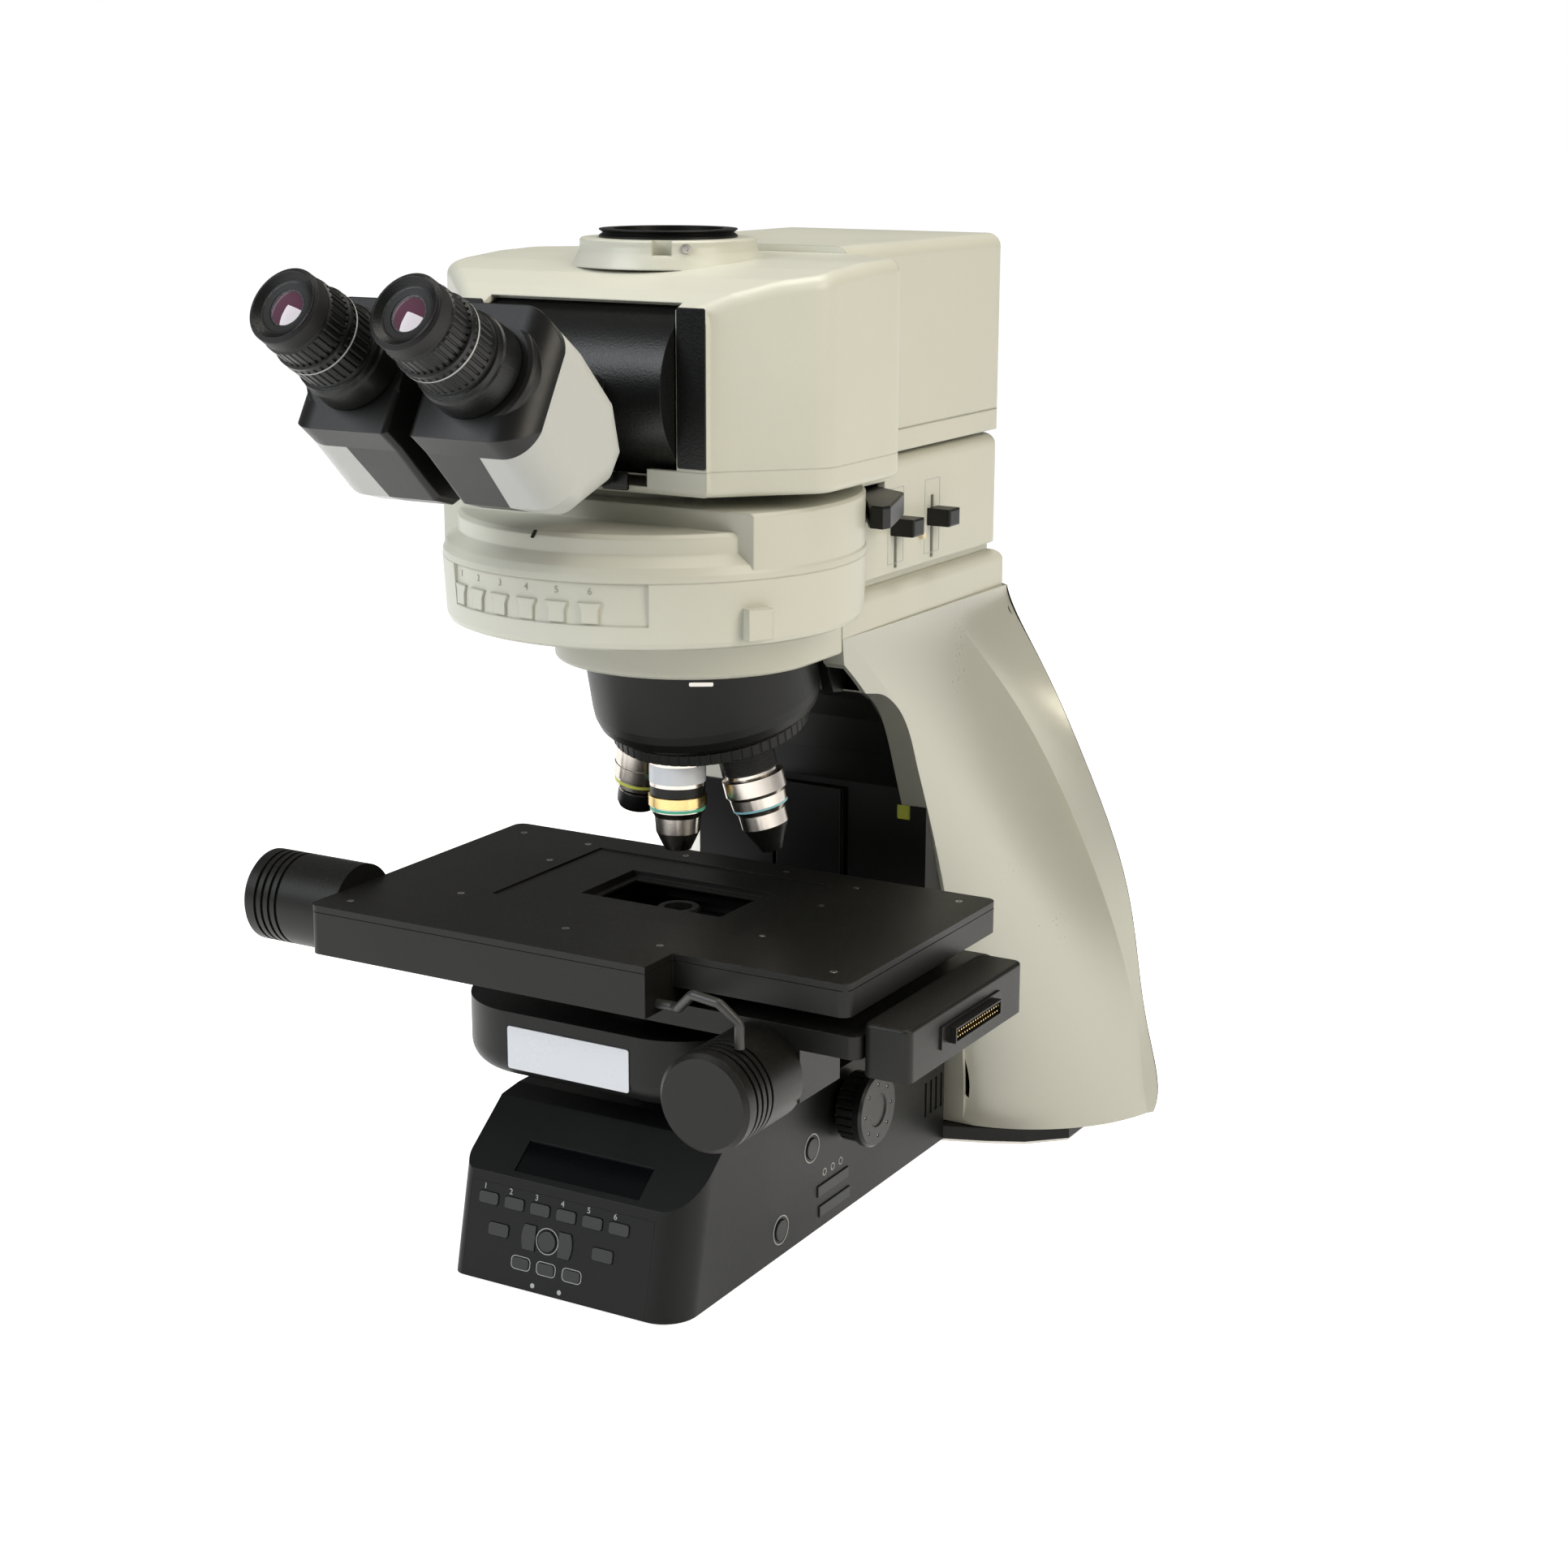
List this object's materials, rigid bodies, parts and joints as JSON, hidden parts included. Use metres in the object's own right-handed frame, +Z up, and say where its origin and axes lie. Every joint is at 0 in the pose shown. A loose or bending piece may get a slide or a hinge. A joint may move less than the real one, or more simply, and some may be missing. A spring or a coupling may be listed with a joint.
{
  "type": "upright fluorescence microscope",
  "caption": "Upright fluorescence microscope with tilting binocular, filter turret, turning nosepiece and a motorised stage over a condenser.",
  "frame": {"origin": "middle of the whole outline, on the bench", "axes": "+Z up, +Y to the back, +X to the user's right; the eyepieces face -Y"},
  "size_m": [0.4276, 0.5664, 0.565],
  "materials": {
    "cream_paint": "satin",
    "silver_paint": "satin",
    "black_paint": "satin",
    "black_plastic": "matte",
    "grey_key": "matte",
    "panel_film": "satin",
    "dark_window": "gloss",
    "lens_glass": "polished",
    "steel": "brushed",
    "chrome": "polished",
    "motor_paint": "satin",
    "cable_jacket": "matte",
    "aluminium": "satin",
    "stage_black": "matte"
  },
  "bodies": {
    "stand": {"base_casting": "black_paint", "floor_plate_with_feet": "steel", "control_panel": "panel_film", "display_window": "dark_window", "field_lens": "lens_glass", "column": "black_paint", "left_side_cover": "silver_paint", "right_side_cover": "silver_paint", "rear_cover": "black_plastic", "arm_head": "cream_paint", "turret_housing": "cream_paint", "turret_cover": "cream_paint", "illuminator_body": "cream_paint", "head_rim": "cream_paint", "head_cover": "cream_paint", "camera_port_ring": "black_paint", "rear_housing": "cream_paint", "nosepiece_housing": "black_paint"},
    "number_key_1": {"number_key_1": "grey_key"},
    "number_key_2": {"number_key_2": "grey_key"},
    "number_key_3": {"number_key_3": "grey_key"},
    "number_key_4": {"number_key_4": "grey_key"},
    "number_key_5": {"number_key_5": "grey_key"},
    "number_key_6": {"number_key_6": "grey_key"},
    "brightness_key": {"brightness_key": "grey_key"},
    "home_key": {"home_key": "grey_key"},
    "centre_key": {"centre_key": "grey_key"},
    "left_moon_key": {"left_moon_key": "grey_key"},
    "right_moon_key": {"right_moon_key": "grey_key"},
    "left_path_key": {"left_path_key": "grey_key"},
    "middle_path_key": {"middle_path_key": "grey_key"},
    "right_path_key": {"right_path_key": "grey_key"},
    "round_key_upper": {"round_key_upper": "grey_key"},
    "round_key_lower": {"round_key_lower": "grey_key"},
    "bar_key_upper": {"bar_key_upper": "grey_key"},
    "bar_key_lower": {"bar_key_lower": "grey_key"},
    "focus_drive": {"focus_knobs": "black_plastic", "focus_shaft": "steel"},
    "filter_carousel": {"filter_carousel": "aluminium"},
    "field_diaphragm_slide": {"field_diaphragm_slide": "black_plastic"},
    "aperture_diaphragm_slide": {"aperture_diaphragm_slide": "black_plastic"},
    "shutter_lever": {"shutter_lever": "black_plastic"},
    "tilt_drum": {"tilt_drum": "black_plastic"},
    "right_eyepiece_arm": {"right_eyepiece_arm": "black_paint"},
    "left_eyepiece_arm": {"left_eyepiece_arm": "black_paint"},
    "right_eyepiece": {"right_eyepiece": "black_plastic"},
    "left_eyepiece": {"left_eyepiece": "black_plastic"},
    "nosepiece": {"nosepiece_turret": "black_paint", "objective_4x": "chrome", "objective_10x": "chrome", "objective_20x": "chrome", "objective_40x": "chrome"},
    "stage_carrier": {"stage_carrier": "stage_black", "front_motor": "motor_paint", "condenser": "black_paint", "motor_cable": "cable_jacket"},
    "middle_slide": {"middle_slide": "stage_black"},
    "stage_top": {"stage_top": "stage_black", "side_motor": "motor_paint", "specimen_holder": "stage_black"}
  },
  "joints": [
    {"name": "number_key_1_press", "type": "slide", "parent": "stand", "child": "number_key_1", "axis": [0, 0.9758, -0.2187], "range_m": [0, 0.001], "stiffness_N_per_m": 600, "springref_m": -0.0003},
    {"name": "number_key_2_press", "type": "slide", "parent": "stand", "child": "number_key_2", "axis": [0, 0.9758, -0.2187], "range_m": [0, 0.001], "stiffness_N_per_m": 600, "springref_m": -0.0003},
    {"name": "number_key_3_press", "type": "slide", "parent": "stand", "child": "number_key_3", "axis": [0, 0.9758, -0.2187], "range_m": [0, 0.001], "stiffness_N_per_m": 600, "springref_m": -0.0003},
    {"name": "number_key_4_press", "type": "slide", "parent": "stand", "child": "number_key_4", "axis": [0, 0.9758, -0.2187], "range_m": [0, 0.001], "stiffness_N_per_m": 600, "springref_m": -0.0003},
    {"name": "number_key_5_press", "type": "slide", "parent": "stand", "child": "number_key_5", "axis": [0, 0.9758, -0.2187], "range_m": [0, 0.001], "stiffness_N_per_m": 600, "springref_m": -0.0003},
    {"name": "number_key_6_press", "type": "slide", "parent": "stand", "child": "number_key_6", "axis": [0, 0.9758, -0.2187], "range_m": [0, 0.001], "stiffness_N_per_m": 600, "springref_m": -0.0003},
    {"name": "brightness_key_press", "type": "slide", "parent": "stand", "child": "brightness_key", "axis": [0, 0.9758, -0.2187], "range_m": [0, 0.001], "stiffness_N_per_m": 600, "springref_m": -0.0003},
    {"name": "home_key_press", "type": "slide", "parent": "stand", "child": "home_key", "axis": [0, 0.9758, -0.2187], "range_m": [0, 0.001], "stiffness_N_per_m": 600, "springref_m": -0.0003},
    {"name": "centre_key_press", "type": "slide", "parent": "stand", "child": "centre_key", "axis": [0, 0.9758, -0.2187], "range_m": [0, 0.001], "stiffness_N_per_m": 600, "springref_m": -0.0003},
    {"name": "left_moon_key_press", "type": "slide", "parent": "stand", "child": "left_moon_key", "axis": [0, 0.9758, -0.2187], "range_m": [0, 0.001], "stiffness_N_per_m": 600, "springref_m": -0.0003},
    {"name": "right_moon_key_press", "type": "slide", "parent": "stand", "child": "right_moon_key", "axis": [0, 0.9758, -0.2187], "range_m": [0, 0.001], "stiffness_N_per_m": 600, "springref_m": -0.0003},
    {"name": "left_path_key_press", "type": "slide", "parent": "stand", "child": "left_path_key", "axis": [0, 0.9758, -0.2187], "range_m": [0, 0.001], "stiffness_N_per_m": 600, "springref_m": -0.0003},
    {"name": "middle_path_key_press", "type": "slide", "parent": "stand", "child": "middle_path_key", "axis": [0, 0.9758, -0.2187], "range_m": [0, 0.001], "stiffness_N_per_m": 600, "springref_m": -0.0003},
    {"name": "right_path_key_press", "type": "slide", "parent": "stand", "child": "right_path_key", "axis": [0, 0.9758, -0.2187], "range_m": [0, 0.001], "stiffness_N_per_m": 600, "springref_m": -0.0003},
    {"name": "round_key_upper_press", "type": "slide", "parent": "stand", "child": "round_key_upper", "axis": [-1, 0, 0], "range_m": [0, 0.001], "stiffness_N_per_m": 600, "springref_m": -0.0003},
    {"name": "round_key_lower_press", "type": "slide", "parent": "stand", "child": "round_key_lower", "axis": [-1, 0, 0], "range_m": [0, 0.001], "stiffness_N_per_m": 600, "springref_m": -0.0003},
    {"name": "bar_key_upper_press", "type": "slide", "parent": "stand", "child": "bar_key_upper", "axis": [-1, 0, 0], "range_m": [0, 0.001], "stiffness_N_per_m": 600, "springref_m": -0.0003},
    {"name": "bar_key_lower_press", "type": "slide", "parent": "stand", "child": "bar_key_lower", "axis": [-1, 0, 0], "range_m": [0, 0.001], "stiffness_N_per_m": 600, "springref_m": -0.0003},
    {"name": "focus_turn", "type": "hinge", "parent": "stand", "child": "focus_drive", "pos_m": [0.021, 0.062, 0.069], "axis": [-1, 0, 0], "range_deg": [-288, 648]},
    {"name": "stage_focus", "type": "slide", "parent": "stand", "child": "stage_carrier", "axis": [0, 0, 1], "range_m": [-0.008, 0.018]},
    {"name": "stage_front_back", "type": "slide", "parent": "stage_carrier", "child": "middle_slide", "axis": [0, 1, 0], "range_m": [-0.0315, 0.0185], "deforming": ["motor_cable"]},
    {"name": "stage_left_right", "type": "slide", "parent": "middle_slide", "child": "stage_top", "axis": [1, 0, 0], "range_m": [-0.025, 0.05], "deforming": ["motor_cable"]},
    {"name": "nosepiece_turn", "type": "hinge", "parent": "stand", "child": "nosepiece", "pos_m": [0.021, 0.03579, 0.28851], "axis": [0, -0.2504, 0.9681], "continuous": true},
    {"name": "filter_turn", "type": "hinge", "parent": "stand", "child": "filter_carousel", "pos_m": [0.021, -0.046, 0.38], "axis": [0, 0, 1], "continuous": true},
    {"name": "field_diaphragm_move", "type": "slide", "parent": "stand", "child": "field_diaphragm_slide", "axis": [0, 0, 1], "range_m": [-0.014, 0.005]},
    {"name": "aperture_diaphragm_move", "type": "slide", "parent": "stand", "child": "aperture_diaphragm_slide", "axis": [0, 0, 1], "range_m": [-0.014, 0.005]},
    {"name": "shutter_swing", "type": "hinge", "parent": "stand", "child": "shutter_lever", "pos_m": [0.085, 0.088, 0.416], "axis": [0, 0, 1], "range_deg": [0, 10]},
    {"name": "binocular_tilt", "type": "hinge", "parent": "stand", "child": "tilt_drum", "pos_m": [0.021, -0.059, 0.49], "axis": [-1, 0, 0], "range_deg": [0, 20]},
    {"name": "right_eye_distance", "type": "slide", "parent": "tilt_drum", "child": "right_eyepiece_arm", "axis": [1, 0, 0], "range_m": [-0.006, 0.0034]},
    {"name": "left_eye_distance", "type": "slide", "parent": "tilt_drum", "child": "left_eyepiece_arm", "axis": [1, 0, 0], "range_m": [-0.0034, 0.006]},
    {"name": "right_dioptre_turn", "type": "hinge", "parent": "right_eyepiece_arm", "child": "right_eyepiece", "pos_m": [0.05515, -0.275, 0.5405], "axis": [0, 0.8616, -0.5075], "range_deg": [-120, 120]},
    {"name": "left_dioptre_turn", "type": "hinge", "parent": "left_eyepiece_arm", "child": "left_eyepiece", "pos_m": [-0.01315, -0.275, 0.5405], "axis": [0, 0.8616, -0.5075], "range_deg": [-120, 120]}
  ],
  "couplings": [
    {"joint": "focus_turn", "follows": "stage_focus", "rad_per_m": 628.32},
    {"joint": "left_eye_distance", "follows": "right_eye_distance", "ratio": -1}
  ]
}
